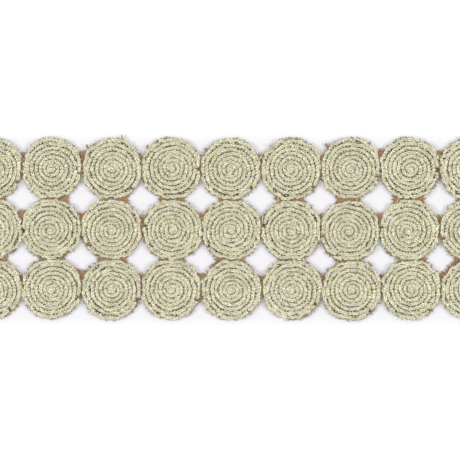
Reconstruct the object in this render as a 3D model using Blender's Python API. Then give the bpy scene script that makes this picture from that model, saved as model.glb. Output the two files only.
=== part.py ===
"""A cut length of metallic trim: three rows of chain-stitched spiral discs on a strip of ground cloth.

Metres, +Z up. X runs along the trim and Y across it. The trim lies flat, face up, and the origin is
under the middle disc, at the underside of the ground cloth.
"""

import math
import random

import bmesh
import bpy

MM = 0.001
SEED = 11

# The grid of discs
ROW_NAMES = ("top", "middle", "bottom")
COLUMNS = 9
COLUMN_PITCH = 22.5 * MM
ROW_PITCH = {"top": 23.05 * MM, "bottom": 22.25 * MM}  # from the middle row

# How far the discs were stitched off the even grid, in mm, as (along X, along Y). One row here for
# each column of discs.
DISC_SHIFTS = (
    {"top": (0.3, 0.2), "middle": (0.1, 0.3), "bottom": (0.2, 0.3)},
    {"top": (0.3, 0.3), "middle": (-0.1, 0.5), "bottom": (0.2, 0.6)},
    {"top": (0.3, 0.0), "middle": (0.1, 0.4), "bottom": (0.1, 0.0)},
    {"top": (0.2, 0.2), "middle": (0.7, 0.2), "bottom": (0.2, 0.2)},
    {"top": (-0.2, -0.1), "middle": (0.1, 0.1), "bottom": (0.2, -0.1)},
    {"top": (0.5, 0.0), "middle": (0.4, 0.0), "bottom": (0.8, 0.1)},
    {"top": (0.1, 0.2), "middle": (-0.3, -0.4), "bottom": (0.6, -0.2)},
    {"top": (0.0, 0.3), "middle": (-0.2, -0.1), "bottom": (0.6, 0.2)},
    {"top": (-0.2, 0.2), "middle": (0.1, -0.1), "bottom": (0.3, 0.1)},
)

# One disc: a spiral of yarn, which runs almost as a ring and then steps out by one turn
DISC_RADIUS = 11.35 * MM
RIM_WOBBLE = 0.2 * MM
TURNS = 7
STEP_START = 0.7
STEADY_SHARE = 0.25
OUTWARDS = {"top": -1, "middle": 1, "bottom": -1}  # 1 winds outwards counter-clockwise, seen from above
STEP_ANGLE = {"top": 30, "middle": 135, "bottom": 30}  # degrees from +X, halfway through each step
INNER_TURNS = 3
INNER_SIDES = 9
OUTER_SIDES = 18

# Heights above the surface that the trim lies on
GROUND_THICKNESS = 1.0 * MM
PIECE_GAP = 0.3 * MM
DISC_BASE = GROUND_THICKNESS + PIECE_GAP
SHOULDER_HEIGHT = DISC_BASE + 0.5 * MM
GROOVE_HEIGHT = DISC_BASE + 0.7 * MM
RIDGE_HEIGHT = DISC_BASE + 1.15 * MM
CROWN = 0.15 * MM  # how much higher the middle of a disc is than its rim

# The ground cloth: how far it shows past a disc, and the webs left between two discs.
# A web reaches this far from the line between their centres before it is cut away.
GROUND_MARGIN = 0.2 * MM
GROUND_WOBBLE = 0.2 * MM
WEB_ABOVE = 5.85 * MM
WEB_BELOW = 3.1 * MM
WEB_BESIDE = 5.0 * MM
WEB_UNEVENNESS = 0.22
NOTCH_WIDTH = 0.6 * MM  # between the edges round two discs, where a web ends
ARC_STEP = math.radians(16)

THREAD_COLOUR = (0.66, 0.62, 0.43, 1.0)
GROUND_COLOUR = (0.36, 0.20, 0.10, 1.0)


class Disc:
    """Where one disc is, and how its outline wavers."""

    def __init__(self, row, column, chance):
        self.row = row
        self.column = column
        self.row_name = ROW_NAMES[row]
        shift_x, shift_y = DISC_SHIFTS[column][self.row_name]
        row_y = {"top": ROW_PITCH["top"], "middle": 0, "bottom": -ROW_PITCH["bottom"]}[self.row_name]
        self.x = (column - (COLUMNS - 1) / 2) * COLUMN_PITCH + shift_x * MM
        self.y = row_y + shift_y * MM
        self.wave_starts = [chance.uniform(0, math.tau) for _ in range(3)]

    @property
    def name(self):
        return f"disc_{self.row_name}_{self.column + 1}"

    def wobble(self, angle):
        """From -1 to 1, a slow wave round the disc that is different on each one."""
        waves = [math.sin((2 + n) * angle + start) for n, start in enumerate(self.wave_starts)]
        return sum(waves) / len(waves)


def make_discs():
    chance = random.Random(SEED)
    return {
        (row, column): Disc(row, column, chance)
        for row in range(len(ROW_NAMES))
        for column in range(COLUMNS)
    }


def neighbours(disc, discs):
    for row_step, column_step in ((0, 1), (0, -1), (1, 0), (-1, 0)):
        other = discs.get((disc.row + row_step, disc.column + column_step))
        if other:
            yield other


def pressed_in(disc, discs, angle, radius, gap):
    """That radius, or less where a straight side lies beside another disc, that gap away from its own."""
    for other in neighbours(disc, discs):
        away_x = other.x - disc.x
        away_y = other.y - disc.y
        facing = math.cos(angle - math.atan2(away_y, away_x))
        if facing > 0.5:
            radius = min(radius, (math.hypot(away_x, away_y) - gap) / 2 / facing)
    return radius


def rim_radius(disc, discs, angle):
    """The disc's outline: a wavering circle, pressed flat where it meets the discs beside it."""
    radius = DISC_RADIUS + RIM_WOBBLE * (disc.wobble(angle) - 1)
    return pressed_in(disc, discs, angle, radius, PIECE_GAP)


def turns_out(turn):
    """How many turns out from the middle the yarn is, after that many turns of stitching."""
    whole = math.floor(turn)
    part = turn - whole
    step = max(0.0, (part - STEP_START) / (1 - STEP_START))
    stepped = step * step * (3 - 2 * step)
    return whole + STEADY_SHARE * part + (1 - STEADY_SHARE) * stepped


def stitching_turns():
    """The turns at which the spiral has points: fewer on the small turns in the middle."""
    inner = [n / INNER_SIDES for n in range(INNER_TURNS * INNER_SIDES)]
    last = TURNS - 1 + STEP_START
    outer = [INNER_TURNS + n / OUTER_SIDES for n in range(int((last - INNER_TURNS) * OUTER_SIDES) + 1)]
    return inner + outer


def join_strip(bm, outer, inner):
    """Faces between two lines of (turn, vertex) that run side by side, with unlike steps."""
    i = 0
    j = 0
    while i < len(outer) - 1 or j < len(inner) - 1:
        outer_next = outer[i + 1][0] if i < len(outer) - 1 else math.inf
        inner_next = inner[j + 1][0] if j < len(inner) - 1 else math.inf
        if abs(outer_next - inner_next) < 1e-6:
            bm.faces.new((outer[i][1], outer[i + 1][1], inner[j + 1][1], inner[j][1]))
            i += 1
            j += 1
        elif outer_next < inner_next:
            bm.faces.new((outer[i][1], outer[i + 1][1], inner[j][1]))
            i += 1
        else:
            bm.faces.new((outer[i][1], inner[j + 1][1], inner[j][1]))
            j += 1


def disc_mesh(disc, discs):
    """One closed solid: a low crowned disc whose top is a spiral ridge with a groove beside it."""
    bm = bmesh.new()
    winding = OUTWARDS[disc.row_name]
    first_angle = math.radians(STEP_ANGLE[disc.row_name]) - winding * math.pi * (1 + STEP_START)

    def point(turn, out, height):
        """The vertex at that many turns of stitching, with out the share of the way to the rim."""
        angle = first_angle + winding * math.tau * turn
        radius = out * rim_radius(disc, discs, angle)
        crowned = height + CROWN * (1 - out * out)
        return bm.verts.new((radius * math.cos(angle), radius * math.sin(angle), crowned))

    turns = stitching_turns()
    ridge = [(t, point(t, (turns_out(t) + 0.55) / TURNS, RIDGE_HEIGHT)) for t in turns]
    groove = [(t, point(t, (turns_out(t) + 0.05) / TURNS, GROOVE_HEIGHT)) for t in turns if t > 0]
    middle = bm.verts.new((0, 0, RIDGE_HEIGHT + CROWN))
    groove.insert(0, (0, middle))

    # Across the ridge, then from each groove down to the ridge of the turn inside it
    join_strip(bm, ridge, groove)
    inner_groove = [(t - 1, v) for t, v in groove if t >= 1]
    last_inner = inner_groove[-1][0]
    inner_ridge = [(t, v) for t, v in ridge if t <= last_inner + 1e-6]
    join_strip(bm, inner_groove, inner_ridge)

    # The first turn closes round the middle point
    first_groove = [v for t, v in groove if 0 < t <= 1 + 1e-6]
    for a, b in zip(first_groove, first_groove[1:]):
        bm.faces.new((middle, a, b))
    bm.faces.new((middle, first_groove[-1], ridge[0][1]))

    # The rim: a shoulder under the last turn, and the edge below it
    end = ridge[-1][0]
    rim_turns = [end - 1 + n / OUTER_SIDES for n in range(OUTER_SIDES)]
    shoulder = [(t, point(t, 1.0, SHOULDER_HEIGHT)) for t in rim_turns]
    base = [point(t, 1.0, DISC_BASE) for t in rim_turns]
    last_ridge = [(t, v) for t, v in ridge if t >= end - 1 - 1e-6]
    join_strip(bm, shoulder + [(end, shoulder[0][1])], last_ridge)
    bm.faces.new((shoulder[0][1], last_ridge[0][1], groove[-1][1], ridge[-1][1]))
    for n in range(OUTER_SIDES):
        m = (n + 1) % OUTER_SIDES
        bm.faces.new((base[n], base[m], shoulder[m][1], shoulder[n][1]))
    bm.faces.new(base)

    bmesh.ops.recalc_face_normals(bm, faces=bm.faces)
    mesh = bpy.data.meshes.new(disc.name)
    bm.to_mesh(mesh)
    bm.free()
    mesh.shade_smooth()
    mesh.set_sharp_from_angle(angle=math.radians(50))
    return mesh


class Webs:
    """Half widths of the webs of ground cloth between discs, each a little different."""

    def __init__(self):
        self.chance = random.Random(SEED + 1)
        self.widths = {}

    def angle(self, disc, other, side):
        """The angle off the line between two discs at which the web on that side ends."""
        key = (min((disc.row, disc.column), (other.row, other.column)), side)
        if key not in self.widths:
            width = {"above": WEB_ABOVE, "below": WEB_BELOW, "left": WEB_BESIDE, "right": WEB_BESIDE}[side]
            self.widths[key] = width * self.chance.uniform(1 - WEB_UNEVENNESS, 1 + WEB_UNEVENNESS)
        return math.asin(self.widths[key] / (DISC_RADIUS + GROUND_MARGIN))


def ground_arc(disc, discs, start, end):
    """Points along the edge of the ground cloth round a disc, from one angle to another."""
    count = max(1, math.ceil(abs(end - start) / ARC_STEP))
    points = []
    for n in range(count + 1):
        angle = start + (end - start) * n / count
        radius = DISC_RADIUS + GROUND_MARGIN + GROUND_WOBBLE * disc.wobble(angle + 1)
        radius = pressed_in(disc, discs, angle, radius, NOTCH_WIDTH)
        points.append((disc.x + radius * math.cos(angle), disc.y + radius * math.sin(angle)))
    return points


def hole_outline(discs, webs, row, column):
    """The diamond-shaped hole between four discs, down its left side and up its right side."""
    upper_left = discs[row, column]
    upper_right = discs[row, column + 1]
    lower_left = discs[row + 1, column]
    lower_right = discs[row + 1, column + 1]
    half = math.pi
    quarter = math.pi / 2
    top = webs.angle(upper_left, upper_right, "below")
    left = webs.angle(upper_left, lower_left, "right")
    foot = webs.angle(lower_left, lower_right, "above")
    right = webs.angle(upper_right, lower_right, "left")
    return (
        ground_arc(upper_left, discs, -top, left - quarter)
        + ground_arc(lower_left, discs, quarter - left, foot)
        + ground_arc(lower_right, discs, half - foot, quarter + right)
        + ground_arc(upper_right, discs, -quarter - right, top - half)
    )


def outer_outline(discs, webs):
    """The scalloped edge, clockwise from the top left disc."""
    half = math.pi
    quarter = math.pi / 2
    last_row = len(ROW_NAMES) - 1
    last_column = COLUMNS - 1
    points = []
    for column in range(COLUMNS):
        disc = discs[0, column]
        start = half - webs.angle(discs[0, column - 1], disc, "above") if column else None
        end = webs.angle(disc, discs[0, column + 1], "above") if column < last_column else None
        if start is None:
            start = half + quarter - webs.angle(disc, discs[1, 0], "left")
        if end is None:
            end = webs.angle(disc, discs[1, last_column], "right") - quarter
        points += ground_arc(disc, discs, start, end)
    for row in range(1, last_row):
        disc = discs[row, last_column]
        start = quarter - webs.angle(discs[row - 1, last_column], disc, "right")
        end = webs.angle(disc, discs[row + 1, last_column], "right") - quarter
        points += ground_arc(disc, discs, start, end)
    for column in reversed(range(COLUMNS)):
        disc = discs[last_row, column]
        start = -webs.angle(disc, discs[last_row, column + 1], "below") if column < last_column else None
        end = webs.angle(discs[last_row, column - 1], disc, "below") - half if column else None
        if start is None:
            start = quarter - webs.angle(discs[last_row - 1, column], disc, "right")
        if end is None:
            end = webs.angle(discs[last_row - 1, 0], disc, "left") - half - quarter
        points += ground_arc(disc, discs, start, end)
    for row in reversed(range(1, last_row)):
        disc = discs[row, 0]
        start = -quarter - webs.angle(disc, discs[row + 1, 0], "left")
        end = webs.angle(discs[row - 1, 0], disc, "left") - half - quarter
        points += ground_arc(disc, discs, start, end)
    return points


def add_outline(curve, points):
    spline = curve.splines.new("POLY")
    spline.points.add(len(points) - 1)
    for target, (x, y) in zip(spline.points, points):
        target.co = (x, y, 0, 1)
    spline.use_cyclic_u = True


def finish(name, colour, roughness, metallic):
    """A Principled material in the piece's own colour."""
    material = bpy.data.materials.new(name)
    material.use_nodes = True
    shader = material.node_tree.nodes["Principled BSDF"]
    shader.inputs["Base Color"].default_value = colour
    shader.inputs["Roughness"].default_value = roughness
    shader.inputs["Metallic"].default_value = metallic
    material.diffuse_color = colour
    return material


def add_ground_cloth(collection, discs):
    """A flat strip cut to the discs' scalloped outline, with a hole between every four discs."""
    curve = bpy.data.curves.new("ground_cloth", "CURVE")
    curve.dimensions = "2D"
    curve.fill_mode = "BOTH"
    curve.extrude = GROUND_THICKNESS / 2
    webs = Webs()
    add_outline(curve, outer_outline(discs, webs))
    for row in range(len(ROW_NAMES) - 1):
        for column in range(COLUMNS - 1):
            add_outline(curve, hole_outline(discs, webs, row, column))
    ground = bpy.data.objects.new("ground_cloth", curve)
    ground.location.z = GROUND_THICKNESS / 2
    curve.materials.append(finish("ground_cloth", GROUND_COLOUR, 0.7, 0.0))
    collection.objects.link(ground)


def add_discs(collection, discs):
    yarn = finish("metallic_thread", THREAD_COLOUR, 0.4, 0.6)
    for disc in discs.values():
        mesh = disc_mesh(disc, discs)
        mesh.materials.append(yarn)
        piece = bpy.data.objects.new(disc.name, mesh)
        piece.location = (disc.x, disc.y, 0)
        collection.objects.link(piece)


def main():
    for old in list(bpy.data.objects):
        bpy.data.objects.remove(old)
    collection = bpy.data.collections.new("metallic_trim")
    bpy.context.scene.collection.children.link(collection)
    discs = make_discs()
    add_ground_cloth(collection, discs)
    add_discs(collection, discs)


main()
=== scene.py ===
import math
import random

import bmesh
import bpy
import numpy as np
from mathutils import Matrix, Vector, noise
from mathutils.geometry import delaunay_2d_cdt


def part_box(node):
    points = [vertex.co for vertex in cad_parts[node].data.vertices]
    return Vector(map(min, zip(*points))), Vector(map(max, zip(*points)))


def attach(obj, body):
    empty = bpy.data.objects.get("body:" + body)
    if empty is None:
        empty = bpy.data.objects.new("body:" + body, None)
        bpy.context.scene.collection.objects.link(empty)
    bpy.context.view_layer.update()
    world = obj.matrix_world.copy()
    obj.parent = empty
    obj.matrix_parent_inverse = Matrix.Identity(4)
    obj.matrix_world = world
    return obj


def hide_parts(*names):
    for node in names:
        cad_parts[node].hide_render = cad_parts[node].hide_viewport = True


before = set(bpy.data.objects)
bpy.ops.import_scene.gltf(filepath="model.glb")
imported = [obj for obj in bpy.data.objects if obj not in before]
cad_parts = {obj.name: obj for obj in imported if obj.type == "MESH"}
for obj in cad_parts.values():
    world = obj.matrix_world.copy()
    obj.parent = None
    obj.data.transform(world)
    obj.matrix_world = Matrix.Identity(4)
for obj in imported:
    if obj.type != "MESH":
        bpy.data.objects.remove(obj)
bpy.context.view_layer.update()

mm = 0.001
body = "root"


# where the discs are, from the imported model

grid = {
    "rows": ("top", "middle", "bottom"),
    "columns": 9,
    "discRadius": 11.35,
    "wobble": 0.12,
    "waves": 4,
    "fewest": 2,  # waves round the rim
    "facing": 0.5,  # cosine of the widest angle at which a neighbour presses a rim flat
    "seed": 5,
    "seeds": 10000,
}


def findDiscs():
    discs = {}
    chance = random.Random(grid["seed"])
    for row, rowName in enumerate(grid["rows"]):
        for column in range(grid["columns"]):
            low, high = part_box(f"disc_{rowName}_{column + 1}")
            discs[row, column] = {
                "node": f"disc_{rowName}_{column + 1}",
                "row": rowName,
                "place": (row, column),
                "x": (low[0] + high[0]) / 2 / mm,
                "y": (low[1] + high[1]) / 2 / mm,
                "phases": [chance.uniform(0, math.tau) for _ in range(grid["waves"])],
                "seed": chance.randrange(grid["seeds"]),
            }
    return discs


def wobbleAt(disc, angle):  # from -1 to 1, a slow wave that is different on each disc
    waves = [math.sin((grid["fewest"] + n) * angle + phase) for n, phase in enumerate(disc["phases"])]
    return sum(waves) / len(waves)


def meetingRadius(disc, angle):  # from a disc's middle to the line halfway to its neighbour
    radius = math.inf
    row, column = disc["place"]
    for place in ((row, column + 1), (row, column - 1), (row + 1, column), (row - 1, column)):
        other = discs.get(place)
        if not other:
            continue
        awayX = other["x"] - disc["x"]
        awayY = other["y"] - disc["y"]
        facing = math.cos(angle - math.atan2(awayY, awayX))
        if facing > grid["facing"]:
            radius = min(radius, math.hypot(awayX, awayY) / 2 / facing)
    return radius


def rimRadius(disc, angle):  # a wavering circle, pressed flat where it meets its neighbours
    radius = grid["discRadius"] + grid["wobble"] * (wobbleAt(disc, angle) - 1)
    return min(radius, meetingRadius(disc, angle))


discs = findDiscs()
print("discs found:", len(discs))


# materials

yarnLook = {
    "tints": (  # multiplied in, patch by patch
        {"from": 0.0, "colour": (1.00, 0.99, 0.84, 1)},
        {"from": 0.22, "colour": (0.94, 1.00, 0.92, 1)},
        {"from": 0.42, "colour": (1.00, 1.00, 1.00, 1)},
        {"from": 0.62, "colour": (0.96, 0.97, 1.16, 1)},
        {"from": 0.82, "colour": (1.03, 0.95, 1.04, 1)},
    ),
    "tintSize": 0.42,  # mm
    "tones": (  # from the painted shade of the groove floors to the pale tops of the ropes
        {"from": 0.0, "colour": (0.185, 0.135, 0.05, 1)},
        {"from": 0.15, "colour": (0.46, 0.425, 0.265, 1)},
        {"from": 0.42, "colour": (0.78, 0.76, 0.57, 1)},
        {"from": 0.85, "colour": (0.96, 0.94, 0.73, 1)},
    ),
    "toneShift": -0.02,
    "toneOfFleck": 0.16,
    "toneOfStripe": 0.54,
    # weight of the tone attribute: a random tone for each stitch, and on the bed a painted shade in the
    # grooves and a painted highlight on the knot
    "toneAndShadeOfStitch": 0.2,
    "metallic": 0.46,
    "roughness": 0.38,
    "roughnessSpread": 0.2,
    "filaments": 4,  # whole number round the yarn, so the stripes meet
    "twist": 3.0,  # turns of the filaments along one stitch
    "fleckSize": 0.34,  # mm
    "fleckBump": 0.25,
    "bump": 0.5,
    "bumpHeight": 0.05,  # mm
}

clothLook = {
    "warp": (0.47, 0.27, 0.12, 1),
    "weft": (0.36, 0.195, 0.08, 1),
    "shade": (0.16, 0.09, 0.038, 1),
    "threadPitch": 0.24,  # mm
    "blotchSize": 1.5,  # mm
    "blotchDetail": 4,
    "blotchFrom": 0.45,
    "blotchContrast": 2.6,
    "roughness": 0.55,
    "sheen": 0.4,
    "bump": 0.5,
    "bumpHeight": 0.04,  # mm
}


def newMaterial(name):
    material = bpy.data.materials.new(name)
    material.use_nodes = True
    tree = material.node_tree
    return material, tree, tree.nodes["Principled BSDF"]


def addNode(tree, kind, inputs, **settings):  # a socket is linked, anything else is set
    node = tree.nodes.new(kind)
    for name, value in settings.items():
        setattr(node, name, value)
    for slot, value in inputs.items():
        if isinstance(value, bpy.types.NodeSocket):
            tree.links.new(value, node.inputs[slot])
        else:
            node.inputs[slot].default_value = value
    return node.outputs


def mathNode(tree, operation, *values):
    return addNode(tree, "ShaderNodeMath", dict(enumerate(values)), operation=operation)[0]


def vectorNode(tree, operation, *values):
    return addNode(tree, "ShaderNodeVectorMath", dict(enumerate(values)), operation=operation)[0]


def scaleNode(tree, vector, factor):
    inputs = {0: vector, "Scale": factor}
    return addNode(tree, "ShaderNodeVectorMath", inputs, operation="SCALE")[0]


def mixNode(tree, factor, first, second, blend="MIX"):
    inputs = {0: factor, 6: first, 7: second}
    return addNode(tree, "ShaderNodeMix", inputs, data_type="RGBA", blend_type=blend)[2]


def rampNode(tree, factor, stops, interpolation):
    node = tree.nodes.new("ShaderNodeValToRGB")
    node.color_ramp.interpolation = interpolation
    elements = node.color_ramp.elements
    for n, stop in enumerate(stops):
        element = elements.new(stop["from"]) if n else elements[0]
        element.color = stop["colour"]
    elements.remove(elements[-1])
    tree.links.new(factor, node.inputs[0])
    return node.outputs[0]


def cellsNode(tree, coords, size):  # three random values for each cell
    inputs = {"Scale": 1 / (size * mm), "Vector": coords}
    cells = addNode(tree, "ShaderNodeTexVoronoi", inputs)
    return addNode(tree, "ShaderNodeSeparateColor", {0: cells["Color"]})


def addBump(tree, shader, look, height):
    inputs = {"Strength": look["bump"], "Distance": look["bumpHeight"] * mm, "Height": height}
    tree.links.new(addNode(tree, "ShaderNodeBump", inputs)[0], shader.inputs["Normal"])


def makeYarnMaterial():
    look = yarnLook
    material, tree, shader = newMaterial("metallicYarn")
    uv = addNode(tree, "ShaderNodeUVMap", {}, uv_map="yarn")["UV"]
    place = addNode(tree, "ShaderNodeSeparateXYZ", {0: uv})
    along = mathNode(tree, "MULTIPLY", place["X"], look["twist"])
    turn = mathNode(tree, "MULTIPLY_ADD", place["Y"], look["filaments"], along)
    wave = mathNode(tree, "SINE", mathNode(tree, "MULTIPLY", turn, math.tau))
    stripe = mathNode(tree, "MULTIPLY_ADD", wave, 0.5, 0.5)

    coords = tree.nodes.new("ShaderNodeTexCoord").outputs["Object"]
    flecks = cellsNode(tree, coords, look["fleckSize"])
    patches = cellsNode(tree, coords, look["tintSize"])
    # the tone attribute holds a random tone for each stitch, and on the bed under the loops a painted
    # shade in the groove floors and a painted highlight on the knot in the middle
    stitchToneAndShade = addNode(tree, "ShaderNodeAttribute", {}, attribute_name="tone")["Fac"]
    tone = mathNode(tree, "MULTIPLY_ADD", flecks[0], look["toneOfFleck"], look["toneShift"])
    tone = mathNode(tree, "MULTIPLY_ADD", stripe, look["toneOfStripe"], tone)
    tone = mathNode(tree, "MULTIPLY_ADD", stitchToneAndShade, look["toneAndShadeOfStitch"], tone)
    colour = rampNode(tree, tone, look["tones"], "LINEAR")
    tint = rampNode(tree, patches[0], look["tints"], "CONSTANT")
    tree.links.new(mixNode(tree, 1, colour, tint, "MULTIPLY"), shader.inputs["Base Color"])

    spread = look["roughnessSpread"]
    rough = mathNode(tree, "MULTIPLY_ADD", flecks[1], spread, look["roughness"] - spread / 2)
    tree.links.new(rough, shader.inputs["Roughness"])
    shader.inputs["Metallic"].default_value = look["metallic"]
    height = mathNode(tree, "MULTIPLY_ADD", flecks[2], look["fleckBump"], stripe)
    addBump(tree, shader, look, height)
    return material


def makeClothMaterial():
    look = clothLook
    material, tree, shader = newMaterial("brownOrganza")
    coords = tree.nodes.new("ShaderNodeTexCoord").outputs["Object"]
    place = addNode(tree, "ShaderNodeSeparateXYZ", {0: coords})
    pitch = math.tau / (look["threadPitch"] * mm)
    warp, weft = (
        mathNode(tree, "SINE", mathNode(tree, "MULTIPLY", place[axis], pitch))
        for axis in "XY"
    )
    over = mathNode(tree, "MULTIPLY", warp, weft)
    share = mathNode(tree, "MULTIPLY_ADD", over, 0.5, 0.5)
    weave = mixNode(tree, share, look["warp"], look["weft"])
    inputs = {"Scale": 1 / (look["blotchSize"] * mm), "Detail": look["blotchDetail"], "Vector": coords}
    blotch = addNode(tree, "ShaderNodeTexNoise", inputs)["Fac"]
    amount = mathNode(tree, "SUBTRACT", blotch, look["blotchFrom"])
    amount = mathNode(tree, "MULTIPLY", amount, look["blotchContrast"])
    tree.links.new(mixNode(tree, amount, weave, look["shade"]), shader.inputs["Base Color"])
    shader.inputs["Roughness"].default_value = look["roughness"]
    shader.inputs["Sheen Weight"].default_value = look["sheen"]
    addBump(tree, shader, look, over)
    return material


yarnMaterial = makeYarnMaterial()
clothMaterial = makeClothMaterial()
print("materials made")


# one stitch, as a tube of yarn with a UV map along it

stitch = {  # mm
    "spacing": 1.2,
    "loopLength": 1.8,  # each loop lies over the head of the one before it
    "halfWidth": 0.43,
    "fullness": 1.3,  # of the loop's sides
    "taper": 0.75,
    "peak": 0.65,  # below 1, the loop is highest before its middle
    "yarnWidth": 0.72,
    "yarnHeight": 0.68,
    "lift": 0.64,
    "lean": 0.12,  # radians, the head of each loop towards the rim
    "segments": 10,
    "sides": 5,
    "backLength": 1.05,
    "backWidth": 0.44,
    "fillerLength": 0.74,  # the sunk part of a loop, seen in the groove between two turns
    "fillerWidth": 0.6,
    "fillerHeight": 0.5,
    "fillerSides": 4,
}

profiles = {  # along and size are shares of the length and the width, side and up are in mm
    "backStitch": (
        {"along": 0, "side": 0, "up": 0.1, "size": 0.5},
        {"along": 0.5, "side": 0, "up": -0.02, "size": 1},
        {"along": 1, "side": 0, "up": 0.1, "size": 0.5},
    ),
    "filler": (
        {"along": -0.5, "side": 0, "up": -0.04, "size": 0.6},
        {"along": 0, "side": 0, "up": 0.02, "size": 1},
        {"along": 0.5, "side": 0, "up": -0.04, "size": 0.6},
    ),
    "fibre": (
        {"along": -0.2, "side": 0, "up": 0, "size": 1},
        {"along": 0.35, "side": 0.06, "up": 0.02, "size": 1},
        {"along": 0.75, "side": -0.02, "up": 0.0, "size": 0.8},
        {"along": 1, "side": 0.08, "up": -0.04, "size": 0.3},
    ),
}


def tubeMesh(name, points, widths, heights, closed, sides):  # all in mm
    bm = bmesh.new()
    uvLayer = bm.loops.layers.uv.new("yarn")
    rings = []
    count = len(points)
    for i, point in enumerate(points):
        before = points[i - 1] if closed or i else point
        after = points[(i + 1) % count] if closed or i < count - 1 else point
        along = (after - before).normalized()
        side = Vector((0, 0, 1)).cross(along).normalized()
        up = along.cross(side)
        ring = []
        for k in range(sides):
            angle = math.tau * k / sides
            offset = side * math.cos(angle) * widths[i] / 2 + up * math.sin(angle) * heights[i] / 2
            ring.append(bm.verts.new((point + offset) * mm))
        rings.append(ring)
    spans = count if closed else count - 1
    for i in range(spans):
        a, b = rings[i], rings[(i + 1) % count]
        for k in range(sides):
            m = (k + 1) % sides
            face = bm.faces.new((a[k], b[k], b[m], a[m]))
            face.smooth = True
            corners = ((i, k), (i + 1, k), (i + 1, k + 1), (i, k + 1))
            for loop, (u, v) in zip(face.loops, corners):
                loop[uvLayer].uv = (u / spans, v / sides)
    if not closed:
        for ring in (rings[0], rings[-1]):
            bm.faces.new(ring).smooth = True
    bmesh.ops.recalc_face_normals(bm, faces=bm.faces)
    mesh = bpy.data.meshes.new(name)
    bm.to_mesh(mesh)
    bm.free()
    return mesh


def makeChainLoop():  # a teardrop that rises out of the loop before it and comes down at its head
    points = []
    for n in range(stitch["segments"]):
        turn = math.tau * (n + 0.5) / stitch["segments"]
        x = 0.5 - 0.5 * math.cos(turn)
        y = stitch["halfWidth"] * math.sin(turn) * stitch["fullness"] * x ** stitch["taper"]
        z = stitch["lift"] * math.sin(math.pi * x ** stitch["peak"])
        points.append(Vector((x * stitch["loopLength"], y, max(0, z))))
    widths = [stitch["yarnWidth"]] * len(points)
    heights = [stitch["yarnHeight"]] * len(points)
    return tubeMesh("chainLoop", points, widths, heights, True, stitch["sides"])


def makeStrand(name, length, width, height, sides):
    profile = profiles[name]
    points = [Vector((length * at["along"], at["side"], at["up"])) for at in profile]
    widths = [width * at["size"] for at in profile]
    heights = [height * at["size"] for at in profile]
    return tubeMesh(name, points, widths, heights, False, sides)


def hiddenObject(name, mesh):  # read by the node tree, not part of the trim
    return bpy.data.objects.new(name, mesh)


def makeSunkStitch(name, length, width, height):
    return hiddenObject(name + "Shape", makeStrand(name, length, width, height, stitch["fillerSides"]))


chainLoop = hiddenObject("chainLoopShape", makeChainLoop())
backStitch = makeSunkStitch("backStitch", stitch["backLength"], stitch["backWidth"], stitch["backWidth"])
filler = makeSunkStitch("filler", stitch["fillerLength"], stitch["fillerWidth"], stitch["fillerHeight"])


# the node tree that lays stitches along a path

def newTree(name, entry, inputs, result):
    tree = bpy.data.node_groups.new(name, "GeometryNodeTree")
    tree.is_modifier = True
    for socket, kind in ((entry, "Geometry"), *inputs):
        tree.interface.new_socket(socket, in_out="INPUT", socket_type="NodeSocket" + kind)
    tree.interface.new_socket(result, in_out="OUTPUT", socket_type="NodeSocketGeometry")
    return tree, tree.nodes.new("NodeGroupInput").outputs


def nextSeed(tree, given, step):
    return mathNode(tree, "ADD", given["Seed"], step)


def randomVector(tree, least, most, seed):
    inputs = {"Min": least, "Max": most, "Seed": seed}
    return addNode(tree, "FunctionNodeRandomValue", inputs, data_type="FLOAT_VECTOR")["Value"]


def randomSize(tree, given, seed):
    least = mathNode(tree, "SUBTRACT", 1, given["Size unevenness"])
    most = mathNode(tree, "ADD", 1, given["Size unevenness"])
    return randomVector(tree, least, most, seed)


def splitPosition(tree):
    position = tree.nodes.new("GeometryNodeInputPosition").outputs[0]
    return addNode(tree, "ShaderNodeSeparateXYZ", {0: position})


def moveTo(tree, geometry, place):
    inputs = {"Geometry": geometry, "Position": place}
    return addNode(tree, "GeometryNodeSetPosition", inputs)["Geometry"]


def giveOut(tree, geometry, material):
    inputs = {"Geometry": geometry, "Material": material}
    dyed = addNode(tree, "GeometryNodeSetMaterial", inputs)["Geometry"]
    tree.links.new(dyed, tree.nodes.new("NodeGroupOutput").inputs[0])


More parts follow.
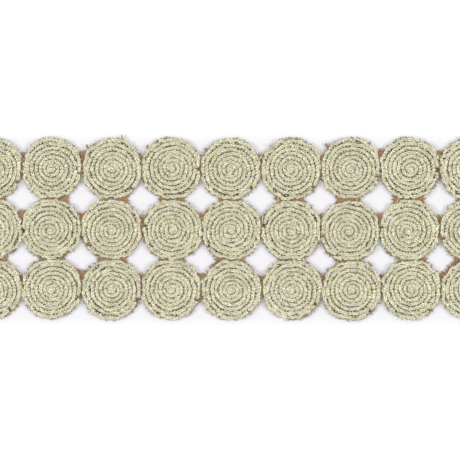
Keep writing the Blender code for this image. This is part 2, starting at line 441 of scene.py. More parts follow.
def makeStitchTree():
    tree, given = newTree("stitchAlongPath", "Path", (
        ("Stitch", "Object"),
        ("Spacing", "Float"),
        ("Height", "Float"),
        ("Turn", "Vector"),
        ("Turn unevenness", "Vector"),
        ("Shift unevenness", "Vector"),
        ("Size unevenness", "Float"),
        ("Seed", "Int"),
        ("Yarn", "Material"),
    ), "Stitches")
    curve = addNode(tree, "GeometryNodeMeshToCurve", {"Mesh": given["Path"]})["Curve"]
    length = addNode(tree, "GeometryNodeCurveLength", {"Curve": curve})["Length"]
    count = mathNode(tree, "DIVIDE", length, given["Spacing"])
    count = mathNode(tree, "SUBTRACT", mathNode(tree, "FLOOR", count), 1)
    offset = addNode(tree, "ShaderNodeCombineXYZ", {"X": given["Spacing"]})[0]
    inputs = {"Count": count, "Offset": offset}
    row = addNode(tree, "GeometryNodeMeshLine", inputs, mode="OFFSET")["Mesh"]
    shape = addNode(tree, "GeometryNodeObjectInfo", {"Object": given["Stitch"]})["Geometry"]

    least = vectorNode(tree, "SUBTRACT", given["Turn"], given["Turn unevenness"])
    most = vectorNode(tree, "ADD", given["Turn"], given["Turn unevenness"])
    turn = randomVector(tree, least, most, given["Seed"])
    size = randomSize(tree, given, nextSeed(tree, given, 1))
    back = scaleNode(tree, given["Shift unevenness"], -1)
    forth = given["Shift unevenness"]
    shift = randomVector(tree, back, forth, nextSeed(tree, given, 3))
    inputs = {"Geometry": row, "Offset": shift}
    shifted = addNode(tree, "GeometryNodeSetPosition", inputs)["Geometry"]
    inputs = {"Points": shifted, "Instance": shape, "Rotation": turn, "Scale": size}
    placed = addNode(tree, "GeometryNodeInstanceOnPoints", inputs)["Instances"]
    inputs = {"Seed": nextSeed(tree, given, 2)}
    tone = addNode(tree, "FunctionNodeRandomValue", inputs, data_type="FLOAT")[1]
    inputs = {"Geometry": placed, "Name": "tone", "Value": tone}
    settings = {"data_type": "FLOAT", "domain": "INSTANCE"}
    toned = addNode(tree, "GeometryNodeStoreNamedAttribute", inputs, **settings)["Geometry"]
    realized = addNode(tree, "GeometryNodeRealizeInstances", {"Geometry": toned})["Geometry"]

    # the straight row of stitches is bent onto the path: x is the length along it, y is across it
    at = splitPosition(tree)
    inputs = {"Name": "fullness"}
    named = addNode(tree, "GeometryNodeInputNamedAttribute", inputs, data_type="FLOAT")
    inputs = {"Value": named["Attribute"], "Curves": curve, "Length": at["X"]}
    settings = {"mode": "LENGTH", "data_type": "FLOAT", "use_all_curves": True}
    sample = addNode(tree, "GeometryNodeSampleCurve", inputs, **settings)
    across = vectorNode(tree, "CROSS_PRODUCT", (0, 0, 1), sample["Tangent"])
    width = mathNode(tree, "MULTIPLY", at["Y"], sample["Value"])
    sideways = scaleNode(tree, across, width)
    height = mathNode(tree, "MULTIPLY", at["Z"], sample["Value"])
    height = mathNode(tree, "ADD", height, given["Height"])
    raised = addNode(tree, "ShaderNodeCombineXYZ", {"Z": height})[0]
    moved = vectorNode(tree, "ADD", sample["Position"], sideways)
    bent = moveTo(tree, realized, vectorNode(tree, "ADD", moved, raised))
    giveOut(tree, bent, given["Yarn"])
    return tree


def pathMesh(name, points, fullness):  # a chain of edges, points in mm
    mesh = bpy.data.meshes.new(name)
    edges = [(n, n + 1) for n in range(len(points) - 1)]
    mesh.from_pydata([Vector(p) * mm for p in points], edges, [])
    mesh.attributes.new("fullness", "FLOAT", "POINT").data.foreach_set("value", fullness)
    return mesh


def runTree(name, mesh, tree, inputs):  # the tree's result as a plain mesh
    holder = bpy.data.objects.new(name, mesh)
    bpy.context.scene.collection.objects.link(holder)
    modifier = holder.modifiers.new("stitches", "NODES")
    modifier.node_group = tree
    for item in tree.interface.items_tree:
        if item.item_type == "SOCKET" and item.in_out == "INPUT" and item.name in inputs:
            modifier[item.identifier] = inputs[item.name]
    graph = bpy.context.evaluated_depsgraph_get()
    result = bpy.data.meshes.new_from_object(holder.evaluated_get(graph))
    holder.modifiers.remove(modifier)
    bpy.data.objects.remove(holder)
    result.name = name
    return result


def addPiece(name, mesh, slot, *replaced):
    piece = bpy.data.objects.new(name, mesh)
    bpy.context.scene.collection.objects.link(piece)
    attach(piece, body)
    if replaced:
        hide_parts(*replaced)
    return piece


def joinMeshes(name, meshes):
    bm = bmesh.new()
    for mesh in meshes:
        bm.from_mesh(mesh)
    for face in bm.faces:
        face.material_index = 0
    joined = bpy.data.meshes.new(name)
    bm.to_mesh(joined)
    bm.free()
    joined.materials.append(next(m for m in meshes[0].materials if m))
    return joined


stitchTree = makeStitchTree()
print("stitch tree made")


# the discs: chain stitch wound from the middle to the rim

spiral = {
    "turns": 7,
    "pointsPerTurn": 40,
    "stepStart": 0.62,  # each turn runs almost as a ring, then steps out in the rest of it
    "steadyShare": 0.3,
    "outwards": {"top": -1, "middle": 1, "bottom": -1},  # 1 is counter-clockwise, seen from above
    "stepMiddle": {"top": 30, "middle": 135, "bottom": 30},  # degrees from +X, where turns step out
    "stepScatter": 25,
    "ringUnevenness": 0.06,
    "widthUnevenness": 0.06,
    "lastTurn": 0.94,  # of a turn, tucked in beside the one before it
    "looseFrom": 6.0,  # turns out, where the stitches get less even
    "leadIn": (0.85, 0.4),  # mm back from the middle, the first points of the path
    "leadInFullness": 0.95,
    "middleScatter": 0.25,
    "startOut": 0.6,  # share of its way out at which the first turn starts
    "startGrowth": 0.9,
    "overRim": 0.60,
    "overContact": -0.3,
    "roundMiddle": 0.55,  # mm, room for the knot in the middle
    "meetingGap": 0.79,  # from the last turn's middle to the line where two discs meet
    "contactBlend": 0.25,  # mm that a rim is pressed in, where it counts as pressed flat
    "noiseSize": 3,
    "gapNoise": 0.2,  # how far a turn wanders in and out beside the next one
    "rimNoise": 0.4,
    "rimPower": 6,  # the higher, the nearer to the rim its noise and dents stay
    "widthNoiseScale": 1.5,
    "tuckedThinning": 0.3,
    "crown": 0.15,
    "chainHeight": 1.05,  # of the lowest yarn's middle
    "fillerHeight": 1.51,
    "grooveWave": 0.28,
    "grooveWaveScale": 0.35,  # waves per mm
    "grooveSeed": 8,
    "dents": (  # where the rims of a row bulge or are pressed in, in degrees and mm
        {"row": "bottom", "angle": 310, "width": 18, "out": -0.6},
        {"row": "top", "angle": 242, "width": 16, "out": 0.3},
        {"row": "top", "angle": 42, "width": 16, "out": 0.3},
    ),
    "backHeight": 0.26,
}


def turnsOut(turn):
    part = turn % 1
    step = max(0, (part - spiral["stepStart"]) / (1 - spiral["stepStart"]))
    step = step * step * (3 - 2 * step)
    if turn > spiral["turns"] - 1:
        step = 0
    return turn - part + spiral["steadyShare"] * part + (1 - spiral["steadyShare"]) * step


def dent(disc, angle):
    shift = 0
    for place in spiral["dents"]:
        if place["row"] == disc["row"]:
            away = (math.degrees(angle) - place["angle"] + 180) % 360 - 180
            shift += place["out"] * math.exp(-(away / place["width"]) ** 2)
    return shift


def groovePath(path):  # halfway between each turn and the next one, deeper in some places
    inner = path[len(spiral["leadIn"]):]
    groove = []
    for (ax, ay, az), (bx, by, bz) in zip(inner, inner[spiral["pointsPerTurn"]:]):
        middle = Vector((ax + bx, ay + by, az + bz)) / 2
        scale = spiral["grooveWaveScale"]
        where = Vector((middle.x * scale, middle.y * scale, spiral["grooveSeed"]))
        middle.z += spiral["grooveWave"] * noise.noise(where)
        groove.append(tuple(middle))
    return groove


def spiralPath(disc):  # points in mm from the middle out, and how full the chain is at each
    chance = random.Random(disc["seed"])
    turns = spiral["turns"]
    ringShift = [chance.gauss(0, spiral["ringUnevenness"]) for _ in range(turns + 2)]
    winding = spiral["outwards"][disc["row"]]
    stepMiddle = spiral["stepMiddle"][disc["row"]] + chance.uniform(-1, 1) * spiral["stepScatter"]
    start = math.radians(stepMiddle - winding * 180 * (1 + spiral["stepStart"]))
    last = turns - 1 + spiral["lastTurn"]
    offX, offY = (chance.gauss(0, spiral["middleScatter"]) for _ in range(2))
    disc["middle"] = disc["x"] + offX, disc["y"] + offY
    freeRim = grid["discRadius"] - grid["wobble"]
    points, fullness = [], []
    for back in spiral["leadIn"]:  # the first stitch lies straight across the middle
        points.append((
            disc["x"] + offX - back * math.cos(start),
            disc["y"] + offY - back * math.sin(start),
            spiral["crown"],
        ))
        fullness.append(spiral["leadInFullness"])
    for n in range(int(last * spiral["pointsPerTurn"]) + 1):
        turn = n / spiral["pointsPerTurn"]
        angle = start + winding * math.tau * turn
        out = (turnsOut(turn) + 0.5 - spiral["steadyShare"] / 2 * min(1, turn)) / turns
        out *= min(1, spiral["startOut"] + spiral["startGrowth"] * turn)
        nearRim = out ** spiral["rimPower"]
        ring = int(turn)
        shift = ringShift[ring] + (ringShift[ring + 1] - ringShift[ring]) * (turn - ring)
        shift *= math.sin(math.pi * min(1, out))
        rim = rimRadius(disc, angle)
        free = min(1, max(0, 1 - (freeRim - rim) / spiral["contactBlend"]))
        over = spiral["overContact"] + (spiral["overRim"] - spiral["overContact"]) * free
        pressed = (rim + over - freeRim - spiral["overRim"]) * out * out
        radius = out * (freeRim + spiral["overRim"] + pressed) + shift
        east, north = (wave(angle) * spiral["noiseSize"] for wave in (math.cos, math.sin))
        where = Vector((east, north, ring + disc["seed"]))
        wander = spiral["gapNoise"] * min(1, out * 2) + spiral["rimNoise"] * nearRim
        radius += wander * noise.noise(where)
        radius += dent(disc, angle) * nearRim + spiral["roundMiddle"] * (1 - out) ** 2
        radius = min(radius, meetingRadius(disc, angle) - spiral["meetingGap"])
        points.append((
            disc["x"] + offX * (1 - out) + radius * math.cos(angle),
            disc["y"] + offY * (1 - out) + radius * math.sin(angle),
            spiral["crown"] * (1 - out * out),
        ))
        lastStep = turn - (turns - 1 + spiral["stepStart"])
        tucked = max(0, lastStep / (spiral["lastTurn"] - spiral["stepStart"]))
        full = 1 + spiral["widthUnevenness"] * noise.noise(where * spiral["widthNoiseScale"])
        fullness.append(full * (1 - spiral["tuckedThinning"] * tucked))
    return points, fullness


unevenness = {
    "even": {"turn": (0.24, 0.08, 0.13), "shift": (0.22, 0.05, 0.06), "size": 0.14},
    "loose": {"turn": (0.35, 0.14, 0.34), "shift": (0.16, 0.18, 0.08), "size": 0.22},
    "filler": {"turn": (0.0, 0.06, 0.12), "shift": (0.1, 0.04, 0.08), "size": 0.15},
    "back": {"turn": (0.0, 0.03, 0.09), "shift": (0.05, 0.05, 0.0), "size": 0.06},
}

bed = {  # the undersides of the loops, a floor in the grooves darkened with painted shade
    "sides": 40,
    "rings": (  # out is a share of the rim's radius
        {"out": 0.0, "height": 2.36, "tone": 1.5},  # a knot stands up in the middle, lightened with a painted highlight
        {"out": 0.02, "height": 2.3, "tone": 1.5},
        {"out": 0.036, "height": 2.08, "tone": 1.1},
        {"out": 0.048, "height": 1.8, "tone": 0.0},
        {"out": 0.10, "height": 1.62, "tone": -0.1},
        {"out": 0.14, "height": 1.2, "tone": -0.7},
        {"out": 0.25, "height": 0.98, "tone": -1.5},
        {"out": 0.5, "height": 0.94, "tone": -1.6},
        {"out": 0.955, "height": 0.92, "tone": -1.6},
        {"out": 0.96, "height": 0.72, "tone": -1.6},
    ),
}


def makeBed(disc):
    bm = bmesh.new()
    uvLayer = bm.loops.layers.uv.new("yarn")
    paintedLightAndShadeLayer = bm.verts.layers.float.new("tone")
    rings = []
    for ring in bed["rings"]:
        verts = []
        for n in range(bed["sides"]):
            angle = math.tau * n / bed["sides"]
            radius = ring["out"] * rimRadius(disc, angle)
            offX = (disc["middle"][0] - disc["x"]) * (1 - ring["out"])
            offY = (disc["middle"][1] - disc["y"]) * (1 - ring["out"])
            x = disc["x"] + offX + radius * math.cos(angle)
            y = disc["y"] + offY + radius * math.sin(angle)
            vert = bm.verts.new((x * mm, y * mm, ring["height"] * mm))
            # painted light and shade: lighter on the raised knot, darkest on the low groove floors
            vert[paintedLightAndShadeLayer] = ring["tone"]
            verts.append(vert)
            if not ring["out"]:
                break
        rings.append(verts)
    for inner, outer in zip(rings, rings[1:]):
        for n in range(bed["sides"]):
            m = (n + 1) % bed["sides"]
            within = (inner[m], inner[n]) if len(inner) > 1 else (inner[0],)
            face = bm.faces.new((outer[n], outer[m], *within))
            face.smooth = True
            for loop in face.loops:
                loop[uvLayer].uv = (0.0, 0.0)
    bm.faces.new(rings[-1])
    bmesh.ops.recalc_face_normals(bm, faces=bm.faces)
    mesh = bpy.data.meshes.new("bed")
    bm.to_mesh(mesh)
    bm.free()
    mesh.materials.append(yarnMaterial)
    return mesh


def stitchAlong(points, full, shape, height, lean, kind, seed):
    uneven = unevenness[kind]
    return runTree("stitches", pathMesh("path", points, full), stitchTree, {
        "Stitch": shape,
        "Spacing": stitch["spacing"] * mm,
        "Height": height * mm,
        "Turn": (0.0, 0.0, lean),
        "Turn unevenness": uneven["turn"],
        "Shift unevenness": [shift * mm for shift in uneven["shift"]],
        "Size unevenness": uneven["size"],
        "Seed": seed,
        "Yarn": yarnMaterial,
    })


def makeDiscs():
    backs = {row: [] for row in grid["rows"]}
    for disc in discs.values():
        path, full = spiralPath(disc)
        split = len(spiral["leadIn"]) + round(spiral["looseFrom"] * spiral["pointsPerTurn"])
        lean = stitch["lean"] * spiral["outwards"][disc["row"]]
        height, seed = spiral["chainHeight"], disc["seed"]
        groove = groovePath(path)
        grooveFull, grooveHeight = [1.0] * len(groove), spiral["fillerHeight"]
        chain = joinMeshes(disc["node"] + "_chain", [
            makeBed(disc),
            stitchAlong(path[:split], full[:split], chainLoop, height, lean, "even", seed + 1),
            stitchAlong(path[split - 1:], full[split - 1:], chainLoop, height, lean, "loose", seed + 2),
            stitchAlong(groove, grooveFull, filler, grooveHeight, 0, "filler", seed + 3),
        ])
        addPiece(disc["node"] + "_chain", chain, "metallic_yarn", disc["node"])
        flat = [(x, y, 0) for x, y, _ in path]
        back = stitchAlong(flat, full, backStitch, spiral["backHeight"], 0, "back", seed + 7)
        backs[disc["row"]].append(back)
    for row, meshes in backs.items():
        addPiece(f"back_stitches_{row}", joinMeshes(f"back_stitches_{row}", meshes), "metallic_yarn")


makeDiscs()
print("discs stitched")


# the ground cloth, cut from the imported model's outline

cloth = {
    "seed": 4,
    "weld": 0.001,
    "flatWithin": 0.01,
    "digits": 3,
    "bottom": 0.50,
    "thickness": 0.20,
    "edgeStep": 0.45,
    "arcWithin": (11.0, 12.6),  # from a disc's middle
    "arcTurn": 0.4,  # radians, the longest step that runs round a disc
    "raggedness": 0.18,
    "raggedScale": 1.3,
    "tuck": 0.45,  # how far the cut edge is under the rim of the yarn
    "peep": 0.9,
    "peepUp": 0.22,
    "peepSize": 2,
    "gridStep": 1.6,
    "gridMargin": 0.7,
    "rowShare": 0.87,  # of the grid step, between two rows
    "edgeMargin": 0.5,
    "ripple": 0.05,
    "rippleScale": 0.35,
    "tolerance": 1e-5,
}


def groundLoops():  # the outline and the holes of the CAD cloth's top face, as rings of (x, y) in mm
    source = bpy.data.objects["ground_cloth"]
    bm = bmesh.new()
    bm.from_mesh(source.data)
    bmesh.ops.remove_doubles(bm, verts=bm.verts, dist=cloth["weld"] * mm)
    top = max(v.co.z for v in bm.verts)
    near = cloth["flatWithin"] * mm
    flat = [f for f in bm.faces if all(abs(v.co.z - top) < near for v in f.verts)]
    following = {}
    for face in flat:
        for loop in face.loops:
            others = [f for f in loop.edge.link_faces if f is not face and f in flat]
            if not others:
                following[loop.vert] = loop.link_loop_next.vert
    loops = []
    while following:
        vert = next(iter(following))
        ring = []
        while vert in following:
            ring.append(tuple(round(c / mm, cloth["digits"]) for c in vert.co.xy))
            vert = following.pop(vert)
        start = ring.index(min(ring))
        loops.append(ring[start:] + ring[:start])
    bm.free()
    return sorted(loops)  # the same order in each run, whatever order the faces came in


def nearestDisc(x, y):
    return min(discs.values(), key=lambda d: (d["x"] - x) ** 2 + (d["y"] - y) ** 2)


def refineLoop(ring):  # short steps: along the arc round one disc, or straight across a web
    points = []
    for n, (ax, ay) in enumerate(ring):
        bx, by = ring[(n + 1) % len(ring)]
        steps = max(1, round(math.hypot(bx - ax, by - ay) / cloth["edgeStep"]))
        disc = nearestDisc((ax + bx) / 2, (ay + by) / 2)
        aOut = math.hypot(ax - disc["x"], ay - disc["y"])
        bOut = math.hypot(bx - disc["x"], by - disc["y"])
        aTurn = math.atan2(ay - disc["y"], ax - disc["x"])
        bTurn = math.atan2(by - disc["y"], bx - disc["x"])
        turn = (bTurn - aTurn + math.pi) % math.tau - math.pi
        nearest, farthest = cloth["arcWithin"]
        onArc = max(aOut, bOut) < farthest and min(aOut, bOut) > nearest and abs(turn) < cloth["arcTurn"]
        for k in range(steps):
            s = k / steps
            if onArc:
                out, angle = aOut + (bOut - aOut) * s, aTurn + turn * s
                east, north = (wave(angle) * cloth["peepSize"] for wave in (math.cos, math.sin))
                where = Vector((east, north, disc["seed"]))
                bare = noise.noise(where) + cloth["peepUp"] * math.sin(angle)
                out -= cloth["tuck"] - cloth["peep"] * min(1, max(0, bare))
                x, y = disc["x"] + out * math.cos(angle), disc["y"] + out * math.sin(angle)
            else:
                x, y = ax + (bx - ax) * s, ay + (by - ay) * s
            where = Vector((x * cloth["raggedScale"], y * cloth["raggedScale"], cloth["seed"]))
            shift = noise.noise_vector(where) * cloth["raggedness"]
            points.append((x + shift.x, y + shift.y))
    return points


def insideMask(points, loops):  # even-odd rule, for many points at once
    inside = np.zeros(len(points), bool)
    px, py = points[:, 0], points[:, 1]
    for ring in loops:
        ring = np.array(ring)
        ends = np.roll(ring, -1, axis=0)
        for (ax, ay), (bx, by) in zip(ring, ends):
            if ay == by:
                continue
            hit = (ay > py) != (by > py)
            inside ^= hit & (px < ax + (py - ay) * (bx - ax) / (by - ay))
    return inside


def ringEdges(rings):  # all points in one list, and the edges that close each ring
    points, edges = [], []
    for ring in rings:
        first = len(points)
        points += ring
        edges += [(first + n, first + (n + 1) % len(ring)) for n in range(len(ring))]
    return points, edges


def makeCloth():
    noise.seed_set(cloth["seed"])  # noise_vector is seeded from the clock otherwise
    loops = [refineLoop(ring) for ring in groundLoops()]
    coords, edges = ringEdges(loops)
    step, margin = cloth["gridStep"], cloth["gridMargin"]
    low, high = np.min(coords, axis=0), np.max(coords, axis=0)
    fill = np.array([
        (x + (step / 2 if row % 2 else 0), y)
        for row, y in enumerate(np.arange(low[1] + margin, high[1], step * cloth["rowShare"]))
        for x in np.arange(low[0] + margin, high[0], step)
    ])
    fill = fill[insideMask(fill, loops)]
    edgePoints = np.array(coords)
    away = [np.min(np.hypot(edgePoints[:, 0] - x, edgePoints[:, 1] - y)) for x, y in fill]
    coords += [tuple(p) for p in fill[np.array(away) > cloth["edgeMargin"]]]
    flat = [Vector(c) for c in coords]
    verts, _, faces, *_ = delaunay_2d_cdt(flat, edges, [], 0, cloth["tolerance"])
    centres = np.array([sum((verts[i] for i in face), Vector((0, 0))) / len(face) for face in faces])
    kept = [face for face, within in zip(faces, insideMask(centres, loops)) if within]

    mesh = bpy.data.meshes.new("ground_cloth_organza")
    top = cloth["bottom"] + cloth["thickness"]
    points = []
    for v in verts:
        wave = noise.noise(Vector((v.x, v.y, 0)) * cloth["rippleScale"])
        points.append((v.x * mm, v.y * mm, (top + cloth["ripple"] * wave) * mm))
    mesh.from_pydata(points, [], kept)
    bm = bmesh.new()
    bm.from_mesh(mesh)
    bmesh.ops.delete(bm, geom=[v for v in bm.verts if not v.link_faces], context="VERTS")
    area = sum(face.calc_area() for face in bm.faces)
    whole = bmesh.ops.extrude_face_region(bm, geom=list(bm.faces))
    for vert in (item for item in whole["geom"] if isinstance(item, bmesh.types.BMVert)):
        vert.co.z -= cloth["thickness"] * mm
    bmesh.ops.recalc_face_normals(bm, faces=bm.faces)
    bm.to_mesh(mesh)
    bm.free()
    mesh.materials.append(clothMaterial)
    piece = addPiece("ground_cloth_organza", mesh, "ground_cloth", "ground_cloth")
    return loops


clothLoops = makeCloth()
print("ground cloth cut")


# fray at the cloth's cut edge

fray = {  # fibres of the cloth, mm
    "spacing": 0.5,
    "cover": 0.55,  # share of the places along the edge that have a fibre
    "length": 0.85,
    "width": 0.36,
    "lean": (0.9, 0.9, 0.15),
    "lowest": 0.05,  # mm, so that no fibre goes through what the trim lies on
    "sizeUnevenness": 0.5,
    "seed": 31,
}

fuzz = {  # broken filaments and slack loops at the rims of the discs
    "spacing": 0.42,
    "cover": 0.5,
    "length": 1.05,
    "width": 0.28,
    "lean": (1.4, 1.4, 0.15),
    "sizeUnevenness": 0.5,
    "steps": 60,  # round a rim
    "inside": 0.3,  # of the rim
    "besideNeighbour": 0.9,
    "height": 1.45,
    "seed": 57,
}


def makeFrayTree():
    tree, given = newTree("frayAlongEdge", "Edge", (
        ("Fibre", "Object"),
        ("Spacing", "Float"),
        ("Cover", "Float"),
        ("Lean", "Vector"),
        ("Size unevenness", "Float"),
        ("Seed", "Int"),
        ("Cloth", "Material"),
    ), "Fibres")
    curve = addNode(tree, "GeometryNodeMeshToCurve", {"Mesh": given["Edge"]})["Curve"]
    inputs = {"Curve": curve, "Length": given["Spacing"]}
    evenly = addNode(tree, "GeometryNodeCurveToPoints", inputs, mode="LENGTH")

    # the cloth is on the left of each edge
    outward = vectorNode(tree, "CROSS_PRODUCT", evenly["Tangent"], (0, 0, 1))
    leastLean = scaleNode(tree, given["Lean"], -1)
    lean = randomVector(tree, leastLean, given["Lean"], given["Seed"])
    inputs = {"Vector": vectorNode(tree, "ADD", outward, lean)}
    turned = addNode(tree, "FunctionNodeAlignRotationToVector", inputs, axis="X")["Rotation"]
    inputs = {"Probability": given["Cover"], "Seed": nextSeed(tree, given, 1)}
    shown = addNode(tree, "FunctionNodeRandomValue", inputs, data_type="BOOLEAN")[3]
    size = randomSize(tree, given, nextSeed(tree, given, 2))
    shape = addNode(tree, "GeometryNodeObjectInfo", {"Object": given["Fibre"]})["Geometry"]
    placed = addNode(tree, "GeometryNodeInstanceOnPoints", {
        "Points": evenly["Points"],
        "Selection": shown,
        "Instance": shape,
        "Rotation": turned,
        "Scale": size,
    })["Instances"]
    realized = addNode(tree, "GeometryNodeRealizeInstances", {"Geometry": placed})["Geometry"]

    at = splitPosition(tree)
    height = mathNode(tree, "MAXIMUM", at["Z"], fray["lowest"] * mm)
    inputs = {"X": at["X"], "Y": at["Y"], "Z": height}
    lying = addNode(tree, "ShaderNodeCombineXYZ", inputs)[0]
    giveOut(tree, moveTo(tree, realized, lying), given["Cloth"])
    return tree


def growFibres(name, rings, height, look, material):
    fibre = makeStrand("fibre", look["length"], look["width"], look["width"], 3)
    points, edges = ringEdges(rings)
    mesh = bpy.data.meshes.new("edge")
    mesh.from_pydata([Vector((x, y, height)) * mm for x, y in points], edges, [])
    return runTree(name, mesh, frayTree, {
        "Fibre": hiddenObject(name + "Shape", fibre),
        "Spacing": look["spacing"] * mm,
        "Cover": look["cover"],
        "Lean": look["lean"],
        "Size unevenness": look["sizeUnevenness"],
        "Seed": look["seed"],
        "Cloth": material,
    })


def rimRing(disc):
    ring = []
    for n in range(fuzz["steps"]):
        angle = math.tau * n / fuzz["steps"]
        radius = rimRadius(disc, angle) - fuzz["inside"]
        if radius < grid["discRadius"] - grid["wobble"] * 2 - fuzz["inside"]:
            radius -= fuzz["besideNeighbour"]
        ring.append((disc["x"] + radius * math.cos(angle), disc["y"] + radius * math.sin(angle)))
    return ring


frayTree = makeFrayTree()
clothHeight = cloth["bottom"] + cloth["thickness"] / 2
frayed = growFibres("frayed_edge", clothLoops, clothHeight, fray, clothMaterial)
addPiece("frayed_edge", frayed, "ground_cloth")
rims = [rimRing(disc) for disc in discs.values()]
fuzzy = growFibres("rim_fuzz", rims, fuzz["height"], fuzz, yarnMaterial)
addPiece("rim_fuzz", fuzzy, "metallic_yarn")
print("edges frayed")


# loose yarn: thread ends at the rims, and strands that jump from disc to disc

loose = {
    "seed": 77,
    "sides": 5,
    "spans": 5,  # straight parts of each end or strand
    "height": 1.15,
    "yarnHeight": 1.9,
    "lowest": 0.25,
    "endsPerDisc": (1, 3),
    "endLength": (1.2, 3.4),
    "endWidth": 0.26,
    "endTaper": (1, 1, 1, 0.95, 0.85, 0.5),
    "endInside": 0.7,  # of the rim, where it starts
    "endHeading": (0.5, 1.5),  # radians from straight outwards
    "endRise": (-0.1, 0.5),
    "endDroop": 0.09,
    "curl": 0.9,
    "kink": 0.15,
    "strandsPerContact": (0, 2),
    "strandWidth": 0.34,
    "strandInside": 0.8,
    "strandLean": (0.15, 0.5),  # radians from the line between two discs
    "strandScatter": 0.25,
    "strandSag": (0.1, 0.3),
    "strandArch": 0.5,
    "seenTaper": (0.8, 1, 1.05, 1, 0.85, 0.45),
    "seenHeight": 0.35,
    "seenWave": 0.15,
    "seenKink": 0.2,
    "seen": (  # ends that stand out in the photo: start in mm, heading in degrees from +X
        {"of": "cloth", "x": -53.8, "y": 31.0, "heading": 110, "length": 1.5, "width": 0.9},
        {"of": "cloth", "x": -31.6, "y": 31.0, "heading": 60, "length": 1.4, "width": 0.9},
        {"of": "cloth", "x": -40.6, "y": 33.6, "heading": 95, "length": 2.6, "width": 0.55},
        {"of": "cloth", "x": -40.2, "y": 34.6, "heading": 60, "length": 1.6, "width": 0.22},
        {"of": "cloth", "x": -8.3, "y": 30.3, "heading": 172, "length": 1.7, "width": 1.4},
        {"of": "cloth", "x": 24.4, "y": 33.8, "heading": 62, "length": 1.5, "width": 1.3},
        {"of": "cloth", "x": 36.6, "y": 31.5, "heading": 125, "length": 1.6, "width": 1.1},
        {"of": "cloth", "x": 27.3, "y": -8.5, "heading": -42, "length": 2.8, "width": 0.35},
        {"of": "cloth", "x": 8.4, "y": -4.6, "heading": -50, "length": 2.2, "width": 0.3},
        {"of": "cloth", "x": -32.1, "y": -24.0, "heading": -80, "length": 3.0, "width": 0.35},
        {"of": "cloth", "x": 30.2, "y": -14.4, "heading": -38, "length": 4.6, "width": 1.3},
        {"of": "cloth", "x": 51.8, "y": -11.9, "heading": -50, "length": 2.3, "width": 0.8},
        {"of": "cloth", "x": 81.2, "y": 6.4, "heading": 75, "length": 3.6, "width": 0.3},
        {"of": "yarn", "x": 17.6, "y": 31.2, "heading": 163, "length": 2.6, "width": 0.9},
        {"of": "yarn", "x": 11.8, "y": 2.6, "heading": 86, "length": 4.6, "width": 0.42},
        {"of": "yarn", "x": 10.2, "y": 25.6, "heading": 62, "length": 3.6, "width": 0.42},
        {"of": "yarn", "x": 77.1, "y": -4.4, "heading": -85, "length": 2.9, "width": 0.35},
        {"of": "yarn", "x": -29.8, "y": 9.8, "heading": 200, "length": 1.9, "width": 0.3},
        {"of": "yarn", "x": -32.6, "y": 7.7, "heading": 235, "length": 1.7, "width": 0.3},
    ),
}


def rimPoint(disc, angle, out=0.0):
    radius = rimRadius(disc, angle) + out
    return disc["x"] + radius * math.cos(angle), disc["y"] + radius * math.sin(angle)


def makeEnd(chance, disc):
    angle = chance.uniform(0, math.tau)
    x, y = rimPoint(disc, angle, -loose["endInside"])
    heading = angle + chance.choice((-1, 1)) * chance.uniform(*loose["endHeading"])
    curl = chance.uniform(-1, 1) * loose["curl"]
    span = chance.uniform(*loose["endLength"]) / loose["spans"]
    z = loose["height"] + chance.uniform(*loose["endRise"])
    points = []
    for n in range(loose["spans"] + 1):
        droop = loose["endDroop"] * n * n * chance.uniform(0.2, 1)
        points.append(Vector((x, y, max(loose["lowest"], z - droop))))
        x += span * math.cos(heading)
        y += span * math.sin(heading)
        heading += curl / loose["spans"] + chance.uniform(-loose["kink"], loose["kink"])
    widths = [loose["endWidth"] * w * chance.uniform(0.8, 1.15) for w in loose["endTaper"]]
    return tubeMesh("end", points, widths, widths, False, loose["sides"])


def makeJump(chance, disc, other, toward):  # a strand from one disc to the next
    inside, scatter = -loose["strandInside"], loose["strandScatter"]
    lean = chance.choice((-1, 1)) * chance.uniform(*loose["strandLean"])
    ax, ay = rimPoint(disc, toward + lean, inside)
    bx, by = rimPoint(other, toward + math.pi - lean + chance.uniform(-scatter, scatter), inside)
    points = []
    for n in range(loose["spans"] + 1):
        s = n / loose["spans"]
        sag = math.sin(math.pi * s) * chance.uniform(*loose["strandSag"])
        z = loose["height"] + loose["strandArch"] * math.sin(math.pi * s)
        points.append(Vector((ax + (bx - ax) * s, ay + (by - ay) * s + sag, z)))
    widths = [loose["strandWidth"]] * len(points)
    return tubeMesh("strand", points, widths, widths, False, loose["sides"])


def makeSeen(chance, end):
    x, y, heading = end["x"], end["y"], math.radians(end["heading"])
    height = loose["height" if end["of"] == "cloth" else "yarnHeight"]
    span = end["length"] / loose["spans"]
    points = []
    for n in range(loose["spans"] + 1):
        points.append(Vector((x, y, height + loose["seenWave"] * math.sin(n))))
        x += span * math.cos(heading)
        y += span * math.sin(heading)
        heading += chance.uniform(-loose["seenKink"], loose["seenKink"])
    widths = [end["width"] * w for w in loose["seenTaper"]]
    heights = [min(width, loose["seenHeight"]) for width in widths]
    return tubeMesh("seen", points, widths, heights, False, loose["sides"])


def makeLooseYarn():
    chance = random.Random(loose["seed"])
    tubes, tufts = [], []
    for disc in discs.values():
        tubes += [makeEnd(chance, disc) for _ in range(chance.randint(*loose["endsPerDisc"]))]
    for (row, column), disc in discs.items():
        for place, toward in (((row, column + 1), 0), ((row + 1, column), -math.pi / 2)):
            if place in discs:
                count = chance.randint(*loose["strandsPerContact"])
                tubes += [makeJump(chance, disc, discs[place], toward) for _ in range(count)]
    for end in loose["seen"]:
        pile = tufts if end["of"] == "cloth" else tubes
        pile.append(makeSeen(chance, end))
    for name, meshes, material, slot in (
        ("loose_yarn", tubes, yarnMaterial, "metallic_yarn"),
        ("cloth_tufts", tufts, clothMaterial, "ground_cloth"),
    ):
        for mesh in meshes:
            mesh.materials.append(material)
        addPiece(name, joinMeshes(name, meshes), slot)


makeLooseYarn()
print("loose yarn laid")


# floor, light and camera

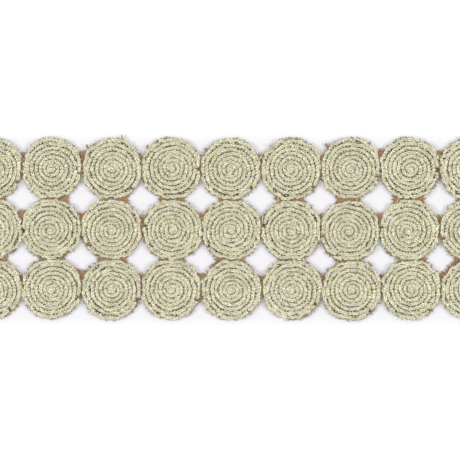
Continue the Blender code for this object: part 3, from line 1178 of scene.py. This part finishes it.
studio = {
    "worldLight": 0.55,
    "softboxes": (  # place in m, power in W
        {"name": "left", "place": (-0.9, -0.1, 0.75), "power": 4.3},
        {"name": "right", "place": (0.9, -0.1, 0.75), "power": 4.1},
        {"name": "top", "place": (0.0, 0.25, 1.3), "power": 3.6},
    ),
    "softboxSize": 0.4,
    "floorSize": 3.0,  # m from the middle
    "paperRoughness": 0.9,
    "paper": (0.94, 0.94, 0.94, 1),
    "paintedShadeUnderTrim": (0.845, 0.835, 0.865, 1),
    "paintedShadeWithin": (32.5, 38.5),  # mm from the trim's middle line, where the painted shade under the trim fades into the plain paper
    "camera": (-0.25, 0.18, 900.0),  # mm, straight above
    "viewWidth": 173.5,
    "sensorWidth": 36,
}


def makeFloor():
    mesh = bpy.data.meshes.new("floor")
    far = studio["floorSize"]
    corners = [(-far, -far, 0), (far, -far, 0), (far, far, 0), (-far, far, 0)]
    mesh.from_pydata(corners, [], [(0, 1, 2, 3)])
    floor = bpy.data.objects.new("floor", mesh)
    bpy.context.scene.collection.objects.link(floor)
    material, tree, shader = newMaterial("floorPaper")
    coords = tree.nodes.new("ShaderNodeTexCoord").outputs["Object"]
    place = addNode(tree, "ShaderNodeSeparateXYZ", {0: coords})
    inner, outer = studio["paintedShadeWithin"]
    away = mathNode(tree, "ABSOLUTE", place["Y"])
    inputs = {"From Min": inner * mm, "From Max": outer * mm, "Value": away}
    share = addNode(tree, "ShaderNodeMapRange", inputs, interpolation_type="SMOOTHSTEP")["Result"]
    # painted shade: the paper is greyer in a band under the trim
    paper = mixNode(tree, share, studio["paintedShadeUnderTrim"], studio["paper"])
    tree.links.new(paper, shader.inputs["Base Color"])
    shader.inputs["Roughness"].default_value = studio["paperRoughness"]
    mesh.materials.append(material)


def makeLights():
    world = bpy.data.worlds.new("studio")
    world.use_nodes = True
    sky = world.node_tree.nodes["Background"].inputs
    sky["Color"].default_value = (1, 1, 1, 1)
    sky["Strength"].default_value = studio["worldLight"]
    bpy.context.scene.world = world
    for softbox in studio["softboxes"]:
        light = bpy.data.lights.new(softbox["name"], "AREA")
        light.shape = "DISK"
        light.size = studio["softboxSize"]
        light.energy = softbox["power"]
        holder = bpy.data.objects.new(softbox["name"], light)
        holder.location = softbox["place"]
        holder.rotation_euler = (-holder.location).to_track_quat("-Z", "Y").to_euler()
        bpy.context.scene.collection.objects.link(holder)


def makeCamera():
    camera = bpy.data.cameras.new("camera")
    camera.sensor_width = studio["sensorWidth"]
    x, y, height = studio["camera"]
    camera.lens = camera.sensor_width * height / studio["viewWidth"]
    holder = bpy.data.objects.new("camera", camera)
    holder.location = (x * mm, y * mm, height * mm)
    bpy.context.scene.collection.objects.link(holder)
    bpy.context.scene.camera = holder
    bpy.context.scene.view_settings.view_transform = "Standard"


makeFloor()
makeLights()
makeCamera()
print("studio set")

pieces = [o for o in bpy.context.scene.objects if o.type == "MESH" and not o.hide_render]
print("triangles:", sum(len(p.vertices) - 2 for o in pieces for p in o.data.polygons))
